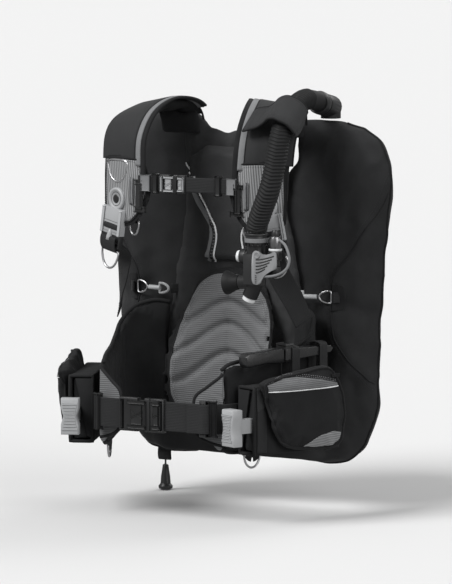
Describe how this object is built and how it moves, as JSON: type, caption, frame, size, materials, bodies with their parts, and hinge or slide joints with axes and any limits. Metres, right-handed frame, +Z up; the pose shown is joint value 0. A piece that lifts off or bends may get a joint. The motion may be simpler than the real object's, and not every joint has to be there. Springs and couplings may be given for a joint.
{
  "type": "buoyancy compensator vest",
  "caption": "Back-inflation buoyancy vest with a padded harness, waist and chest buckles, weight pockets, power inflator and a cylinder band.",
  "frame": {"origin": "middle of the tank saddle's flat contact face, where the diving cylinder rests", "axes": "+X to the wearer's left, +Y out of the back towards the cylinder, +Z up"},
  "size_m": [0.566, 0.542, 0.7105],
  "materials": {
    "black_fabric": "coated woven nylon, dull",
    "grey_fabric": "ribbed spacer mesh, dull",
    "webbing": "flat nylon webbing, dull",
    "black_plastic": "moulded acetal, satin",
    "grey_plastic": "moulded plastic, satin",
    "steel": "polished stainless steel",
    "rubber": "moulded rubber, dull"
  },
  "bodies": {
    "root": {"tank_saddle": "rubber", "tank_band": "webbing", "cam_buckle_frame": "black_plastic", "backplate": "black_plastic", "air_cell": "black_fabric", "dump_valve": "black_plastic", "jacket_back": "black_fabric", "spine_pad": "grey_fabric", "lumbar_pad": "grey_fabric", "waist_socket": "black_plastic", "waist_slide": "black_plastic", "chest_socket": "black_plastic", "knife_sheath": "black_plastic", "corrugated_hose": "rubber", "shoulder_elbow": "black_plastic", "inflator_body": "black_plastic", "mouthpiece": "rubber", "gas_coupling": "steel", "shoulder_strap_left": "black_fabric", "cummerbund_left": "black_fabric", "pull_strap_left": "webbing", "weight_pocket_left": "black_fabric", "cargo_pocket_left": "black_fabric", "trim_ring_left": "black_plastic", "waist_webbing_left": "webbing", "chest_webbing_left": "webbing", "shoulder_strap_right": "black_fabric", "cummerbund_right": "black_fabric", "pull_strap_right": "webbing", "weight_pocket_right": "black_fabric", "cargo_pocket_right": "black_fabric", "trim_ring_right": "black_plastic", "waist_webbing_right": "webbing", "chest_webbing_right": "webbing"},
    "swivel_left": {"shoulder_buckle_left": "grey_plastic"},
    "adjuster_left": {"strap_adjuster_left": "black_plastic"},
    "pull_ring_left": {"pull_ring_left": "steel"},
    "strap_ring_left": {"strap_ring_left": "steel"},
    "waist_ring_left": {"waist_ring_left": "steel"},
    "pouch_left": {"weight_pouch_left": "black_fabric", "pouch_handle_left": "grey_plastic"},
    "trim_hook_left": {"trim_hook_left": "black_plastic"},
    "swivel_right": {"shoulder_buckle_right": "grey_plastic"},
    "adjuster_right": {"strap_adjuster_right": "black_plastic"},
    "pull_ring_right": {"pull_ring_right": "steel"},
    "chest_ring_right": {"chest_ring_right": "steel"},
    "strap_ring_right": {"strap_ring_right": "steel"},
    "waist_ring_right": {"waist_ring_right": "steel"},
    "pouch_right": {"weight_pouch_right": "black_fabric", "pouch_handle_right": "grey_plastic"},
    "trim_hook_right": {"trim_hook_right": "black_plastic"},
    "waist_tongue": {"waist_tongue": "black_plastic"},
    "chest_tongue": {"chest_tongue": "black_plastic"},
    "knife": {"knife": "black_plastic"},
    "inflate_button": {"inflate_button": "grey_plastic"},
    "deflate_button": {"deflate_button": "grey_plastic"},
    "dump_pull": {"dump_pull": "rubber"},
    "cam_lever": {"cam_lever": "black_plastic"},
    "hose_flap": {"hose_flap": "black_fabric"}
  },
  "joints": [
    {"name": "shoulder_swivel_left", "type": "hinge", "parent": "root", "child": "swivel_left", "pos_m": [0.14, -0.18, 0.181], "axis": [0.3156, -0.9489, 0], "range_deg": [-25, 25]},
    {"name": "shoulder_release_left", "type": "slide", "parent": "swivel_left", "child": "adjuster_left", "axis": [0.1648, 0.0548, -0.9848], "range_m": [0, 0.026]},
    {"name": "pull_ring_swing_left", "type": "hinge", "parent": "adjuster_left", "child": "pull_ring_left", "pos_m": [0.15843, -0.1881, 0.09631], "axis": [-0.9345, -0.3109, -0.1737], "range_deg": [-5, 22]},
    {"name": "strap_ring_swing_left", "type": "hinge", "parent": "root", "child": "strap_ring_left", "pos_m": [0.11217, -0.18821, 0.145], "axis": [-0.9489, -0.3156, 0], "range_deg": [-40, 10]},
    {"name": "waist_ring_swing_left", "type": "hinge", "parent": "root", "child": "waist_ring_left", "pos_m": [0.13777, -0.22774, -0.227], "axis": [0.3827, 0.9239, 0], "range_deg": [-75, 75]},
    {"name": "pouch_draw_left", "type": "slide", "parent": "root", "child": "pouch_left", "axis": [-0.3827, -0.9239, 0], "range_m": [0, 0.16]},
    {"name": "trim_hook_swivel_left", "type": "hinge", "parent": "root", "child": "trim_hook_left", "pos_m": [0.12, -0.062, 0.019], "axis": [0.9816, 0.1908, 0], "range_deg": [-35, 35]},
    {"name": "shoulder_swivel_right", "type": "hinge", "parent": "root", "child": "swivel_right", "pos_m": [-0.14, -0.18, 0.181], "axis": [-0.3156, -0.9489, 0], "range_deg": [-25, 25]},
    {"name": "shoulder_release_right", "type": "slide", "parent": "swivel_right", "child": "adjuster_right", "axis": [-0.1648, 0.0548, -0.9848], "range_m": [0, 0.026]},
    {"name": "pull_ring_swing_right", "type": "hinge", "parent": "adjuster_right", "child": "pull_ring_right", "pos_m": [-0.15843, -0.1881, 0.09631], "axis": [-0.9345, 0.3109, 0.1737], "range_deg": [-5, 85]},
    {"name": "chest_ring_swing_right", "type": "hinge", "parent": "root", "child": "chest_ring_right", "pos_m": [-0.14331, -0.18996, 0.247], "axis": [-0.9489, 0.3156, 0], "range_deg": [0, 80]},
    {"name": "strap_ring_swing_right", "type": "hinge", "parent": "root", "child": "strap_ring_right", "pos_m": [-0.11217, -0.18821, 0.145], "axis": [-0.9489, 0.3156, 0], "range_deg": [-40, 10]},
    {"name": "waist_ring_swing_right", "type": "hinge", "parent": "root", "child": "waist_ring_right", "pos_m": [-0.13777, -0.22774, -0.227], "axis": [-0.3827, 0.9239, 0], "range_deg": [-75, 75]},
    {"name": "pouch_draw_right", "type": "slide", "parent": "root", "child": "pouch_right", "axis": [0.3827, -0.9239, 0], "range_m": [0, 0.16]},
    {"name": "trim_hook_swivel_right", "type": "hinge", "parent": "root", "child": "trim_hook_right", "pos_m": [-0.12, -0.062, 0.019], "axis": [-0.9816, 0.1908, 0], "range_deg": [-35, 35]},
    {"name": "waist_release", "type": "slide", "parent": "root", "child": "waist_tongue", "axis": [1, 0, 0], "range_m": [0, 0.031]},
    {"name": "chest_release", "type": "slide", "parent": "root", "child": "chest_tongue", "axis": [1, 0, 0], "range_m": [0, 0.025]},
    {"name": "knife_draw", "type": "slide", "parent": "root", "child": "knife", "axis": [-0.382, -0.9222, -0.061], "range_m": [0, 0.09]},
    {"name": "inflate_press", "type": "slide", "parent": "root", "child": "inflate_button", "axis": [1, 0, 0], "range_m": [0, 0.0035], "stiffness_N_per_m": 400},
    {"name": "deflate_press", "type": "slide", "parent": "root", "child": "deflate_button", "axis": [0.419, 0, 0.908], "range_m": [0, 0.003], "stiffness_N_per_m": 400},
    {"name": "dump_pull_travel", "type": "slide", "parent": "root", "child": "dump_pull", "axis": [0, 0, -1], "range_m": [0, 0.012], "stiffness_N_per_m": 400},
    {"name": "cam_lever_hinge", "type": "hinge", "parent": "root", "child": "cam_lever", "pos_m": [-0.015, 0.1985, 0], "axis": [0, 0, 1], "range_deg": [0, 100]},
    {"name": "hose_flap_hinge", "type": "hinge", "parent": "root", "child": "hose_flap", "pos_m": [0.194, -0.161, 0.306], "axis": [-0.0502, 0.8248, 0.5632], "range_deg": [0, 110]}
  ]
}
